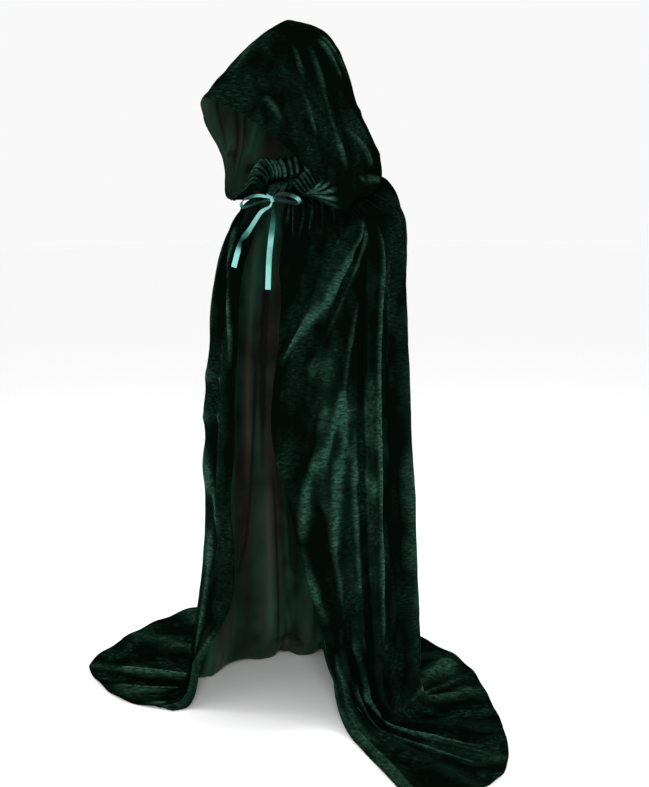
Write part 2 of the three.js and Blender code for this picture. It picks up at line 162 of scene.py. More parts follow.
# %% The body's rings, hem and long folds
RINGS = table("half frontR frontL back cx cy sideZ frontZ backZ rightEdge leftEdge", """
    82 96 96 78 0 0 1330 1288 1364 -154 154
    132 112 108 120 4 8 1300 1278 1365 -165 162
    186 135 122 164 9 16 1266 1258 1364 -171 169
    214 156 134 176 13 20 1236 1222 1348 -175 172
    226 169 150 179 16 22 1202 1174 1306 -174 172
    234 183 170 178 17 21 1158 1112 1228 -172 171
    238 192 185 177 16 18 1088 1035 1125 -172 167
    242 193 196 176 15 12 980 935 990 -173 165
    245 200 202 176 17 8 842 815 845 -173 168
    248 209 208 180 22 5 690 675 690 -174 166
    251 216 228 190 28 3 540 530 540 -172 151
    252 226 213 200 32 2 400 395 400 -176 145
    253 248 189 210 34 1 280 276 280 -177 141
    254 268 160 216 36 0 180 178 180 -168 141
    256 290 112 220 36 0 105 104 105 -159 143
""")
LAST_RING = len(RINGS["half"]) - 1
HEM_FALL = LAST_RING + 2  # past the bend and the train

HEM_STEP = 0.25
HEM = table("place x y turn", """
    0 -118 -342 42
    0.25 -262 -390 64
    0.5 -425 -358 60
    0.75 -560 -290 50
    1 -668 -110 48
    1.25 -745 85 48
    1.5 -762 290 45
    1.75 -600 500 45
    2 -290 575 45
    2.25 10 525 50
    2.5 200 445 55
    2.75 372 312 60
    3 540 166 68
    3.25 660 34 80
    3.5 718 -80 100
    3.75 708 -195 120
    4 625 -283 140
""")

# the first ones hang down to the floor and have no end, the last three slant over the chest
FOLDS = named("start end width depth from full", """
    0.1 0.1 0.13 16 3 9
    0.42 0.38 0.14 17 2 8
    0.78 0.72 0.15 26 3 9
    1.12 1.08 0.14 24 3 9
    1.42 1.4 0.13 30 4 10
    1.74 1.72 0.14 26 2 9
    2.06 2.05 0.13 30 3 9
    2.36 2.38 0.14 24 2 9
    2.66 2.72 0.14 28 4 9
    2.99 3 0.12 17 3 7
    3.2 3.3 0.15 14 8 12
    3.5 3.62 0.17 20 9 13
    3.88 3.9 0.12 14 9 13
""")
for fold in FOLDS:
    fold.update(until=99, gone=100)
FOLDS += named("start end width depth from full until gone", """
    3.02 4.1 0.17 20 2.2 4.5 7 9.4
    3 3.8 0.12 13 3 5 7.4 9.4
    3 3.55 0.14 13 6 8 9.4 11.5
""")
SLANT_FROM, SLANT_TO = 2.5, 9.5
ELBOW = {"place": 0.52, "ring": 8.4, "width": 0.34, "rings": 1.1, "depth": 9}
print(LAST_RING + 1, "rings and", len(FOLDS), "long folds")


# %% Find any point of the body
def ring_at_angle(angle, ring):
    s, c = np.sin(angle), np.cos(angle)
    power = 2 / mix(2, SQUARENESS, ease(ring, 0, 6))
    front = np.where(s < 0, along(RINGS, "frontR", ring), along(RINGS, "frontL", ring))
    reach = np.where(c > 0, along(RINGS, "back", ring), front)
    end_z = np.where(c > 0, along(RINGS, "backZ", ring), along(RINGS, "frontZ", ring))
    return stack(
        along(RINGS, "cx", ring) + along(RINGS, "half", ring) * np.sign(s) * np.abs(s) ** power,
        along(RINGS, "cy", ring) + reach * np.sign(c) * np.abs(c) ** power,
        mix(along(RINGS, "sideZ", ring), end_z, c * c),
    )


def ring_point(place, ring):
    stops = [
        along(RINGS, "rightEdge", ring),
        np.full_like(ring, -SIDE_SEAM),
        np.zeros_like(ring),
        np.full_like(ring, SIDE_SEAM),
        along(RINGS, "leftEdge", ring),
    ]
    panel = np.clip(np.floor(place), 0, 3).astype(int)
    low = np.choose(panel, stops[:4])
    high = np.choose(panel, stops[1:])
    return ring_at_angle(np.radians(mix(low, high, place - panel)), ring)


def fold_lift(place, ring):
    lift = np.zeros_like(place)
    slant = (ring - SLANT_FROM) / (SLANT_TO - SLANT_FROM)
    for fold in FOLDS:
        run = slant if fold["until"] < LAST_RING else ring / LAST_RING
        middle = mix(fold["start"], fold["end"], np.clip(run, 0, 1))
        strength = ease(ring, fold["from"], fold["full"]) * (1 - ease(ring, fold["until"], fold["gone"]))
        lift += fold["depth"] * strength * ridge((place - middle) / fold["width"])
    arm = ridge((place - ELBOW["place"]) / ELBOW["width"]) * ridge((ring - ELBOW["ring"]) / ELBOW["rings"])
    return lift + ELBOW["depth"] * arm


def gather_lift(place, ring):
    strength = mix(3, 5.5, ease(ring, 1, 3)) * ease(ring, 0, 0.6) * (1 - ease(ring, 3, 6))
    return strength * np.cos(2 * np.pi * PANEL_GATHERS * place)


STEP = 1e-3


def outward_at(place, ring):
    side = ring_point(place + STEP, ring) - ring_point(place - STEP, ring)
    down = ring_point(place, ring + STEP) - ring_point(place, ring - STEP)
    return unit(np.cross(side, down))


def body_point(place, fall):
    """A point of the body: fall counts the rings, then one for the bend and one for the train."""
    ring, run = np.minimum(fall, LAST_RING), np.maximum(fall - LAST_RING, 0)
    lift = fold_lift(place, ring)
    hanging = ring_point(place, ring) + outward_at(place, ring) * (lift + gather_lift(place, ring))[..., None]
    foot = ring_point(place, np.full_like(place, LAST_RING))
    hem = stack(along(HEM, "x", place / HEM_STEP), along(HEM, "y", place / HEM_STEP), 0)
    out = (hem - foot) * np.array([1, 1, 0])
    reach = np.linalg.norm(out, axis=-1)
    out = unit(out)
    turn = np.minimum(run, 1) * np.pi / 2
    bend = along(HEM, "turn", place / HEM_STEP)
    away = bend * (1 - np.cos(turn)) + np.maximum(run - 1, 0) * (reach - bend)
    height = mix(foot[..., 2], CLOTH, np.sin(turn))
    fade = mix(1, 0.42, ease(run, 0.5, 1.3)) * mix(1, 0.15, ease(run, 1.3, 2))
    ripple = TRAIN_RIPPLE * ease(run, 1.1, 2) * ridge(((place * 5.3) % 1) * 2 - 1)
    bent = out * np.cos(turn)[..., None] + np.array([0, 0, 1.0]) * np.sin(turn)[..., None]
    start = outward_at(place, np.full_like(place, LAST_RING))
    normal = unit(mix(start, bent, ease(run, 0, 0.6)[..., None]))
    train = foot * np.array([1, 1, 0]) + out * away[..., None] + stack(0 * run, 0, height)
    train += normal * (lift * fade + ripple)[..., None]
    return np.where((fall <= LAST_RING)[..., None], hanging, train)


corner = body_point(np.array([0.0]), np.array([0.0]))[0]
print("the right front corner of the neckline is at", corner.round(1), "mm")

# %% [markdown]
# ## The hood's shape
#
# The hood starts at the neck seam as a gathered stand, turns over at a crest, lies on the shoulders in
# a bottom fold, and rises over the head to the seam along the top. `run` is 0 at its front edge, 1 at
# the side and 2 at the centre back, and `row` counts from the neck seam to the top seam.

# %% The hood's rows, and any point of it
HOOD_COLUMNS = (
    "leftX leftY leftZ rightX rightY rightZ leftSideX sideY leftSideZ rightSideX rightSideZ backY backZ"
)
HOOD_ROWS = table(HOOD_COLUMNS, """
    36 -87 1299 -36 -87 1299 82 0 1331 -82 1331 78 1357
    43 -90 1302 -48 -90 1302 80 0 1349 -84 1356 76 1384
    50 -94 1303 -66 -94 1302 86 2 1363 -100 1378 85 1404
    60 -98 1302 -90 -97 1300 101 3 1367 -126 1388 101 1411
    78 -102 1298 -116 -100 1294 146 0 1334 -162 1354 134 1400
    102 -104 1293 -148 -101 1288 198 -8 1290 -196 1288 170 1378
    138 -100 1308 -176 -96 1296 214 0 1310 -212 1307 180 1380
    165 -97 1332 -182 -98 1320 212 2 1350 -210 1350 180 1396
    176 -142 1353 -174 -104 1351 202 0 1394 -194 1396 171 1424
    171 -178 1381 -158 -124 1384 176 -4 1450 -166 1450 150 1472
    152 -216 1418 -134 -164 1420 150 -8 1515 -140 1515 122 1530
    114 -264 1463 -104 -220 1460 126 -12 1585 -118 1585 112 1598
    68 -290 1490 -64 -264 1488 94 -20 1652 -90 1652 98 1650
    30 -306 1510 -30 -298 1506 54 -40 1700 -52 1700 76 1686
    0 -312 1519 0 -312 1519 0 -45 1720 0 1720 50 1706
""")
HOOD_TOP = len(HOOD_ROWS["sideY"]) - 1

# where the left half's bottom fold hangs lower in front of the shoulder, and stands out to clear it
DROOP = {"run": 0.54, "width": 0.46, "row": 5.3, "rows": 2.2, "down": 30, "out": 15}


def hood_row_point(is_left, run, row):
    half = "left" if is_left else "right"
    side = stack(along(HOOD_ROWS, half + "SideX", row), along(HOOD_ROWS, "sideY", row),
                 along(HOOD_ROWS, half + "SideZ", row))
    edge = stack(*(along(HOOD_ROWS, half + axis, row) for axis in "XYZ"))
    w = np.clip(1 - run, 0, None)
    sag = mix(STAND_SAG, HOOD_SAG, ease(row, 2.6, 4.6))
    front = mix(side, edge, stack(w**2, w, w**sag))
    if is_left:
        droop = ridge((run - DROOP["run"]) / DROOP["width"]) * ridge((row - DROOP["row"]) / DROOP["rows"])
        front += stack(DROOP["out"] * droop, 0, -DROOP["down"] * droop)
    angle = (2 - run) * np.pi / 2
    back = stack(
        side[..., 0] * np.sin(angle),
        mix(side[..., 1], along(HOOD_ROWS, "backY", row), np.cos(angle)),
        mix(side[..., 2], along(HOOD_ROWS, "backZ", row), np.cos(angle) ** 2),
    )
    return np.where((run < 1)[..., None], front, back)


def smooth_hood(is_left, run, row):
    edge = RINGS["leftEdge"][0]
    angle = np.radians(np.where(run < 1, mix(edge, 90, run), mix(90, 0, run - 1)))
    neck = ring_at_angle(angle if is_left else -angle, np.zeros_like(run))
    neck[..., 2] += NECK_SEAM + CORNER_RISE * (1 - ease(run, 0, 0.4))
    moved = neck - hood_row_point(is_left, run, np.zeros_like(row))
    return hood_row_point(is_left, run, row) + moved * (1 - ease(row, 0, 1))[..., None]


def hood_point(is_left, run, row):
    """A point of one half of the hood with its gathers."""
    side = smooth_hood(is_left, run + STEP, row) - smooth_hood(is_left, run - STEP, row)
    up = smooth_hood(is_left, run, row + STEP) - smooth_hood(is_left, run, row - STEP)
    normal = unit(np.cross(side, up)) * (-1 if is_left else 1)
    gone = mix(5.5, 3.6, ease(run, 0.5, 0.9))  # the gathers run on over the crest only in front
    strength = ease(row, 0, 1) * (1 - ease(row, 2.3, gone)) * ease(run, 0.05, 0.5)
    lift = GATHER_DEPTH * strength * np.cos(np.pi * HOOD_GATHERS * run)
    return smooth_hood(is_left, run, row) + normal * lift[..., None]


print("the hood has", HOOD_TOP + 1, "rows and", 2 * HOOD_GATHERS, "gathers")

# %% [markdown]
# ## Laying out a sheet
#
# Each panel starts as an operator's flat grid, as cloth comes off the table flat, and its vertices are
# then moved onto the cloak's shape. Lengths along the grid are measured in millimetres, because creases,
# hems and stitches have real widths that don't depend on how the grid was cut. `close` packs columns or
# rows together at an edge, where the turned hem needs them.

# %% Measure and lift a grid of cloth
def close(low, high, count, at_low=0.0, at_high=0.0):
    """Places from low to high, closer together at an end by that share."""
    t = np.linspace(0, 1, count + 1)
    t = t - at_low * np.sin(2 * np.pi * t) / (2 * np.pi) * (t < 0.5)
    t = t - at_high * np.sin(2 * np.pi * t) / (2 * np.pi) * (t >= 0.5)
    return mix(low, high, t)


def arcs(points, axis):
    """How far along the cloth each point is from the first one of its row or column, in millimetres."""
    steps = np.linalg.norm(np.diff(points, axis=axis), axis=-1)
    first = np.zeros_like(np.take(steps, [0], axis=axis))
    return np.cumsum(np.concatenate([first, steps], axis=axis), axis=axis)


def facing(points):
    """The way the cloth faces at each point."""
    return unit(np.cross(np.gradient(points, axis=1), np.gradient(points, axis=0)))


def lumps(points, size, seed):
    """Smooth unevenness from -1 to 1 with lumps of about that many millimetres."""
    shift = Vector((seed * 7.1, seed * 3.3, seed * 5.7))
    flat = [noise.noise(Vector(p) / size + shift) for p in points.reshape(-1, 3)]
    return np.array(flat).reshape(points.shape[:2]) * 1.8


print("places closer at their low end:", close(0, 1, 4, at_low=0.8).round(3))

# %% [markdown]
# ## Creases placed one by one
#
# The long folds of the solids are broad and even. Real velvet has softer and sharper creases between
# them: they start at the tie, hang from the shoulder, cross over the arm, and break where the hem meets
# the floor. Each row below is one crease, laid from one place to another along the cloth, with the width
# and height that it has there. A negative height is a trough, and `bow` bends the crease sideways.

# %% The creases of the body
def creases(rows):
    return named("place0 fall0 place1 fall1 bow width height", rows)


BODY_CREASES = {
    "front_left": creases("""
    3.93 0.4 3.97 3.4 0 4 3.8
    3.8 0.5 3.92 4.2 0.02 5 4.2
    3.68 0.5 3.84 4.6 0.02 4 3.8
    3.54 0.5 3.74 4.4 0.02 5 4.2
    3.4 0.6 3.58 3.6 0.02 4 3.6
    3.26 0.8 3.42 3.2 0.02 5 3.4
    3.14 0.8 3.2 2.6 0.02 5 3
    3.04 2.9 3.3 5.6 -0.04 8 6
    3.18 4.8 3.54 6.6 -0.02 12 7
    3.46 6.2 3.97 7.5 0.03 12 7
    3.1 4.4 3.5 7 -0.07 7 -6
    3.02 3.4 3.56 7.4 -0.16 7 6
    3.05 6.2 3.24 8.4 0.02 9 6
    3.2 8 3.52 9.4 0.01 10 6
    3.27 7.9 3.24 9.2 -0.02 12 5
    3.24 8.9 3.5 11 0.03 14 7
    3.48 10.6 3.34 13.4 0.03 12 5
    3.5 8.9 3.97 10.6 0.02 16 6
    3.96 10.3 3.72 12.6 0.05 13 5
    3.6 9.6 3.66 12.6 -0.03 8 -5
    3.1 8.4 3.14 13.4 0.02 11 5
    3.06 4.5 3.06 14 0 7 -7
    3.38 11.2 3.46 14.2 0.02 8 -5
    3.86 12 3.9 15.1 0.01 8 -5
    3.72 12.6 3.78 15.6 0.02 11 6
    3.6 13.4 3.5 15.92 0.03 6 -5
    3.5 13.8 3.4 15.95 0.03 6 6
    3.4 13.9 3.28 15.95 0.03 6 -5
    3.3 14 3.18 15.95 0.03 6 6
    3.2 14.1 3.08 15.95 0.02 6 -5
    3.1 14 3.36 14.4 0.12 12 4
    3.08 14.6 3.36 14.9 0.12 10 -4
    """),
    "front_right": creases("""
    0.02 0.4 0.04 3 0 4 3.4
    0.12 0.4 0.3 3.6 -0.02 6 5
    0.26 0.4 0.46 3.4 -0.02 5 4
    0.4 0.4 0.62 3 -0.02 5 4
    0.56 0.4 0.78 2.4 -0.02 5 3.2
    0.3 3 0.12 5.8 0.06 10 7
    0.14 5.4 0.03 7.8 -0.02 8 6
    0.2 4.6 0.14 7.4 0.02 6 -5
    0.08 7.85 0.5 7.95 0.02 10 4
    0.06 8.2 0.55 8.3 0.02 8 -4
    0.06 8.55 0.62 8.7 0.02 10 4
    0.6 3 0.42 7.6 -0.03 12 6
    0.82 2.6 0.7 7.4 0.02 11 -5
    0.5 9 0.03 10.6 0.04 18 7
    0.3 10.2 0.22 14.4 0.03 11 6
    0.12 10.8 0.1 15.2 0.01 7 -5
    0.56 9.6 0.54 14.2 -0.03 10 -6
    0.86 8.6 0.88 14.4 0.02 11 6
    0.48 12.4 0.44 15.9 0.03 9 6
    0.36 13.6 0.3 15.9 0.02 6 -4
    0.62 13.8 0.58 15.9 0.03 7 -5
    0.76 13.6 0.74 15.9 0.03 8 5
    0.88 14 0.9 15.9 0.02 6 -4
    """),
    "back_right": creases("""
    1.1 0.3 1.16 3.2 0.02 7 3
    1.28 0.3 1.34 3.4 -0.02 7 2.6
    1.46 0.3 1.44 3 0.02 7 3
    1.64 0.3 1.6 3.3 -0.02 7 2.6
    1.84 0.3 1.82 3.2 0.02 7 2.8
    1.1 3.4 1.1 11 0 14 -7
    1.16 7.6 1.05 12.4 0.01 5 7
    1.2 4 1.18 10.4 0.01 9 6
    1.22 9.8 1.2 14.6 0 10 -5
    1.27 9.8 1.28 14.9 0 6 7
    1.36 6 1.4 13.8 -0.02 12 -6
    1.58 3.6 1.56 10.4 -0.03 11 -6
    1.9 4.2 1.88 12.2 0.02 12 6
    1.6 9.4 1.58 15.6 0.03 12 6
    1.34 13.2 1.4 15.9 0.03 10 -5
    1.68 14.3 1.8 15.9 -0.04 10 5
    1.9 14 1.96 15.9 0.02 9 -4
    1.15 14.2 1.42 14.6 0.2 9 4
    1.5 14.9 1.86 15.1 0.25 9 4
    """),
    "back_left": creases("""
    2.12 0.3 2.14 3.1 -0.02 7 3
    2.3 0.3 2.28 3.4 0.02 7 2.6
    2.48 0.3 2.46 3 -0.02 7 2.8
    2.66 0.3 2.62 3.3 0.02 7 2.6
    2.86 0.3 2.8 3 -0.02 7 2.8
    2.22 3.6 2.2 9.6 0.03 12 6
    2.5 3.4 2.54 8.4 -0.03 13 7
    2.54 8 2.52 14.2 0.03 11 6
    2.82 3.4 2.84 13 0.01 11 -6
    2.9 2.6 2.93 14 0.02 9 7
    2.28 11.4 2.2 15.8 0.03 10 -5
    2.6 13.4 2.56 15.9 -0.03 11 5
    2.84 14.1 2.76 15.9 0.03 9 -4
    2.12 14.4 2.4 14.8 -0.2 9 4
    2.56 14.5 2.9 14.8 0.2 9 4
    """),
}
print({name: len(rows) for name, rows in BODY_CREASES.items()})


# %% Lift a sheet along its creases
RISEN, FADES = 0.22, 0.72  # a crease is at its full height between these shares of its length


def crease_line(row, surface, pieces=14):
    """The middle of one crease, as points on the surface."""
    t = np.linspace(0, 1, pieces + 1)
    side = row["bow"] * np.sin(np.pi * t)
    return surface(mix(row["place0"], row["place1"], t) + side, mix(row["fall0"], row["fall1"], t))


def crease_lift(points, rows, surface):
    """How far all the creases of a table lift each point, in millimetres."""
    lift = np.zeros(points.shape[:2])
    for row in rows:
        line = crease_line(row, surface)
        near = np.full(lift.shape, 1e9)
        at = np.zeros(lift.shape)
        for k, (a, b) in enumerate(zip(line[:-1], line[1:])):
            way = b - a
            t = np.clip(((points - a) @ way) / (way @ way), 0, 1)
            gap = np.linalg.norm(points - a - t[..., None] * way, axis=-1)
            closer = gap < near
            near = np.where(closer, gap, near)
            at = np.where(closer, (k + t) / (len(line) - 1), at)
        ends = ease(at, 0, RISEN) * (1 - ease(at, FADES, 1))
        lift += row["height"] * ends * np.exp(-((near / row["width"]) ** 2))
    return lift


print("a crease keeps its full height over", round((FADES - RISEN) * 100), "% of its length")

# %% [markdown]
# ## Colours and noise scales
#
# Colours are written as the hex numbers a picture editor shows, which are in the display's encoding.
# The renderer wants linear light, so one function converts them. Another adds a shader node with its
# settings and its links, and short ones add the kinds that come up again and again, which keeps each
# material short enough to read as a recipe. Scales count blotches in a metre.

# %% Convert colours, and add shader nodes
def colour(hex_text):
    parts = [int(hex_text[i:i + 2], 16) / 255 for i in (1, 3, 5)]
    linear = [p / 12.92 if p <= 0.04045 else ((p + 0.055) / 1.055) ** 2.4 for p in parts]
    return (*linear, 1.0)


def new_material(name):
    material = bpy.data.materials.new(name)
    material.use_nodes = True
    material.node_tree.nodes.clear()
    return material


def node(material, kind, settings=None, **inputs):
    """Adds a node. A setting is one of its properties, and an input a number, a colour or a socket."""
    made = material.node_tree.nodes.new(kind)
    for name, value in (settings or {}).items():
        setattr(made, name, value)
    for name, value in inputs.items():
        socket = made.inputs[int(name[1:])] if name[0] == "_" else made.inputs[name.replace("_", " ")]
        if isinstance(value, bpy.types.NodeSocket):
            material.node_tree.links.new(value, socket)
        else:
            socket.default_value = value
    return made


def maths(material, operation, *values):
    """A Math node on sockets and numbers, taken in order."""
    inputs = {f"_{i}": value for i, value in enumerate(values)}
    return node(material, "ShaderNodeMath", {"operation": operation}, **inputs).outputs[0]


def rescale(material, value, low, high, clamp=True, **ends):
    """Stretches what lies between low and high over 0 to 1, or over the ends given."""
    ends.update(Value=value, From_Min=low, From_Max=high)
    return node(material, "ShaderNodeMapRange", {"clamp": clamp}, **ends).outputs[0]


def blotches(material, place, per_metre, stretch=None, **settings):
    """Noise with about that many blotches in a metre. A stretch of 2 makes them half as long that way."""
    if stretch:
        place = node(material, "ShaderNodeMapping", Vector=place, Scale=stretch).outputs[0]
    return node(material, "ShaderNodeTexNoise", Vector=place, Scale=per_metre, **settings).outputs[0]


def ramp(material, fac, stops):
    """A colour ramp. Its stops are positions with hex colours, as in "0 #000000, 1 #ffffff"."""
    stops = [stop.split() for stop in stops.split(",")]
    made = node(material, "ShaderNodeValToRGB", _0=fac)
    made.color_ramp.interpolation = "EASE"
    while len(made.color_ramp.elements) < len(stops):
        made.color_ramp.elements.new(0.5)
    for element, (position, shade) in zip(made.color_ramp.elements, stops):
        element.position, element.color = float(position), colour(shade)
    return made.outputs[0]


print("a mid green in linear light:", [round(v, 3) for v in colour("#1f3d34")])

# %% [markdown]
# ## Velvet
#
# Velvet's pile stands up like a very short brush. Light that comes from behind the fibres' tips makes
# them glow where the cloth turns away, and the face looks nearly black where we look straight into the
# pile. The sheen of the shader stands for the tips, the base for the depth between them. This velvet is
# crushed: patches of pile lie over in different directions, so it is blotched light and dark. The
# attribute filled in with the creases is mostly painted light: a painted highlight on every ridge,
# painted shade in every trough, painted highlights on gathers that lie in shadow, and paler patches that
# are partly pile a hand has laid over and partly painted sheen. The pile's colour gets paler with it,
# and on its woven back the same attribute paints shade into the valleys.

# %% Make the velvet's two faces
def crushed_velvet():
    m = new_material("crushed dark green velvet pile")
    place = node(m, "ShaderNodeTexCoord").outputs["Object"]
    nap = node(m, "ShaderNodeAttribute", {"attribute_name": "nap"}).outputs["Fac"]
    # crushed pile in dabs of about 10 mm, which lie across the cloth
    dabs = blotches(m, place, 105.0, (0.7, 0.7, 2.0), Detail=6.0, Roughness=0.7)
    crush = rescale(m, dabs, 0.36, 0.64)
    # wide areas where the pile was brushed the other way, about 100 mm across and twice as long
    wide = blotches(m, place, 10.0, (1.0, 1.0, 0.42), Detail=3.0, Roughness=0.6)
    brushed = rescale(m, wide, 0.47, 0.62)
    # the pile itself, in tufts of about 0.8 mm
    tuft = blotches(m, place, 1200.0, Detail=1.0)
    # a ridge gets a painted highlight in both the base colour and the sheen's tint, which the dabs break up,
    # and it outshines the brushed areas
    ridge_tops = rescale(m, nap, 0.17, 0.8, clamp=False)
    painted_light_and_pile = maths(m, "MULTIPLY", ridge_tops, maths(m, "MULTIPLY_ADD", crush, 0.66, 0.34))
    swept = maths(m, "MULTIPLY", maths(m, "MULTIPLY", brushed, crush), 0.62)
    level = maths(m, "MULTIPLY", maths(m, "MAXIMUM", swept, painted_light_and_pile), 0.6)
    base = ramp(m, level, "0 #020604, 0.18 #05100c, 0.39 #10221b, 0.6 #1b362d, 1 #33574b")
    tips = ramp(m, level, "0 #020604, 0.18 #10211a, 0.39 #30503f, 0.6 #54786b, 1 #7aa695")
    deep = node(m, "ShaderNodeBump", Strength=0.5, Distance=0.0022, Height=dabs)
    fine = node(m, "ShaderNodeBump", Strength=0.25, Distance=0.0004, Height=tuft, Normal=deep.outputs[0])
    face = node(m, "ShaderNodeBsdfPrincipled", Base_Color=base, Roughness=0.8,
                Sheen_Weight=0.9, Sheen_Roughness=0.36, Sheen_Tint=tips, Normal=fine.outputs[0])
    face.inputs["Specular IOR Level"].default_value = 0.0  # fibres have no polished face
    node(m, "ShaderNodeOutputMaterial", Surface=face.outputs[0])
    return m


def velvet_back():
    m = new_material("woven back of the velvet")
    flat = node(m, "ShaderNodeUVMap", {"uv_map": "cloth"}).outputs[0]
    place = node(m, "ShaderNodeTexCoord").outputs["Object"]
    # the back shows through brown-grey or green in long stripes, as the folds stretch it
    stripes = blotches(m, place, 16.0, (1.0, 1.0, 0.1), Detail=2.0)
    weave_tone = ramp(m, stripes, "0.38 #2c2c25, 0.5 #22352b, 0.62 #1e4535")
    # seen from this side an outward ridge is a deep valley, so its colour gets painted shade there, and the
    # ridges on this side are painted lighter
    nap = node(m, "ShaderNodeAttribute", {"attribute_name": "nap"}).outputs["Fac"]
    open_to_light = rescale(m, nap, 0.7, -0.5, To_Min=0.18, To_Max=1.25)
    shade = node(m, "ShaderNodeCombineColor", _0=open_to_light, _1=open_to_light, _2=open_to_light)
    base = node(m, "ShaderNodeMix", {"data_type": "RGBA", "blend_type": "MULTIPLY"},
                _0=1.0, _6=weave_tone, _7=shade.outputs[0]).outputs[2]
    # threads about 0.16 mm apart both ways, for a band is 0.314 of a unit wide
    across, down = (
        node(m, "ShaderNodeTexWave", {"bands_direction": way}, Vector=flat, Scale=2000.0).outputs[1]
        for way in "XY"
    )
    weave = maths(m, "ADD", across, down)
    bump = node(m, "ShaderNodeBump", Strength=0.15, Distance=0.0002, Height=weave)
    face = node(m, "ShaderNodeBsdfPrincipled", Base_Color=base, Roughness=0.75,
                Sheen_Weight=0.25, Sheen_Roughness=0.5, Sheen_Tint=colour("#4c7463"), Normal=bump.outputs[0])
    face.inputs["Specular IOR Level"].default_value = 0.06
    node(m, "ShaderNodeOutputMaterial", Surface=face.outputs[0])
    return m


PILE, BACK = crushed_velvet(), velvet_back()
print(PILE.name, "has", len(PILE.node_tree.nodes), "nodes")

# %% [markdown]
# ## From grid to cloth
#
# `make_cloth` lays an operator's grid onto a set of points, gives it a map in metres for the weave, and
# thickens it with Solidify. The pile is the face that the points describe and the woven back is the
# other, so the modifier's material offset paints the two sides with two materials in one go.

# %% Make a piece of cloth from its points
def grid_object(name, points, across, down):
    """A grid moved onto points, an array of rows of columns in millimetres above the floor."""
    rows, columns = points.shape[:2]
    sheet = bmesh.new()
    uv = sheet.loops.layers.uv.new("cloth")
    bmesh.ops.create_grid(sheet, x_segments=columns - 1, y_segments=rows - 1, size=0.5)
    sheet.verts.ensure_lookup_table()
    order = sorted(range(rows * columns),
                   key=lambda i: (round(-sheet.verts[i].co.y, 6), round(sheet.verts[i].co.x, 6)))
    rank = {i: k for k, i in enumerate(order)}
    placed = (points.reshape(-1, 3) - np.array([0, 0, NECK_HEIGHT])) * MM
    flat = np.stack([across, down], axis=-1).reshape(-1, 2) * MM
    for vert in sheet.verts:
        vert.co = placed[rank[vert.index]]
    for face in sheet.faces:
        face.smooth = True
        for loop in face.loops:
            loop[uv].uv = flat[rank[loop.vert.index]]
    sheet.normal_update()
    return sheet, rank


def placed_object(name, data):
    made = bpy.data.objects.new(name, data)
    bpy.context.collection.objects.link(made)
    return made


def mesh_object(name, shape, materials):
    """Turns a finished shape into an object at the origin."""
    mesh = bpy.data.meshes.new(name)
    shape.to_mesh(mesh)
    shape.free()
    for material in materials:
        mesh.materials.append(material)
    return placed_object(name, mesh)


def finish_sheet(name, sheet, materials, thickness, offset, edge=0):
    made = mesh_object(name, sheet, materials)
    thick = made.modifiers.new("thickness of the cloth", "SOLIDIFY")
    thick.thickness, thick.offset = thickness * MM, -1
    thick.material_offset, thick.material_offset_rim = offset, edge
    return made


def make_cloth(name, points, across, down, nap, materials, offset, face_material, turned=False, edge=0):
    sheet, rank = grid_object(name, points, across, down)
    layer = sheet.verts.layers.float.new("nap")
    painted_light_and_pile = nap.reshape(-1)
    for vert in sheet.verts:
        vert[layer] = float(painted_light_and_pile[rank[vert.index]])
    columns = points.shape[1]
    for face in sheet.faces:
        row = min(rank[v.index] for v in face.verts) // columns
        face.material_index = face_material[row]
    if not turned:  # rows run down the grid, which leaves its faces looking inwards
        bmesh.ops.reverse_faces(sheet, faces=sheet.faces)
    return finish_sheet(name, sheet, materials, CLOTH, offset, edge)


print("a sheet is", CLOTH, "mm thick")

# %% [markdown]
# ## The body panels
#
# The turned hem is one more layer of cloth, so it stands a little higher, and its stitching pulls a
# narrow groove. The same goes for the casing under the neckline that holds the ribbon. The long seams
# between two panels draw both edges in, and the sheets lap there, or light would come through. Between
# the gathers of the solids lie finer ones, about 9 mm apart and uneven, which fade out over the
# shoulders. A hand that brushes over velvet lays its pile over in a wide patch, which looks paler, so
# a short table places such patches: on the arm, the hips and the knees, and above the hem. Their
# paleness is partly that laid-over pile and partly painted sheen. The colour also gets a painted
# highlight on every ridge and painted shade in every trough.

# %% Lift, crease and hem one body panel
# each patch paints the pile paler: partly laid-over pile, partly painted sheen
BRUSHED_AND_SHEEN_PATCHES = named("place fall across down paler", """
    3.32 10.1 0.34 1.8 0.3
    3.02 8.7 0.24 0.9 0.3
    3.46 7.6 0.18 0.7 0.3
    3.24 12.7 0.2 1.2 0.28
    2.76 10.2 0.1 1.2 0.22
    2.3 9.4 0.3 1.6 0.4
    1.6 11 0.3 1.7 0.4
    1.2 7.4 0.2 1.2 0.3
    0.5 10.6 0.28 1.5 0.3
    0.12 7 0.12 1.1 0.2
    0.3 15.6 0.26 0.5 0.4
    0.8 15.3 0.2 0.4 0.34
    1.5 15.5 0.3 0.5 0.34
    2.4 15.5 0.3 0.5 0.34
    3.3 15.5 0.24 0.5 0.3
""")


def brushed_and_painted_sheen(place, fall, uneven):
    """How much paler the pile's colour is in each wide patch: partly pile that a hand has laid over, partly
    painted sheen.
    """
    paler = np.zeros_like(place)
    for patch in BRUSHED_AND_SHEEN_PATCHES:
        far = np.hypot((place - patch["place"]) / patch["across"], (fall - patch["fall"]) / patch["down"])
        paler += patch["paler"] * (1 - ease(far + 0.35 * uneven, 0.55, 1.05))
    return paler


def hem_lift(distance):
    """The turned hem: a step, a groove where it is stitched and a rounded edge."""
    step = 0.9 * (1 - ease(distance, HEM_WIDTH - 2, HEM_WIDTH + 1))
    groove = -1.3 * np.exp(-(((distance - HEM_WIDTH + 2) / 2.2) ** 2))
    edge = -0.9 * (1 - ease(distance, 0, 4))
    return step + groove + edge


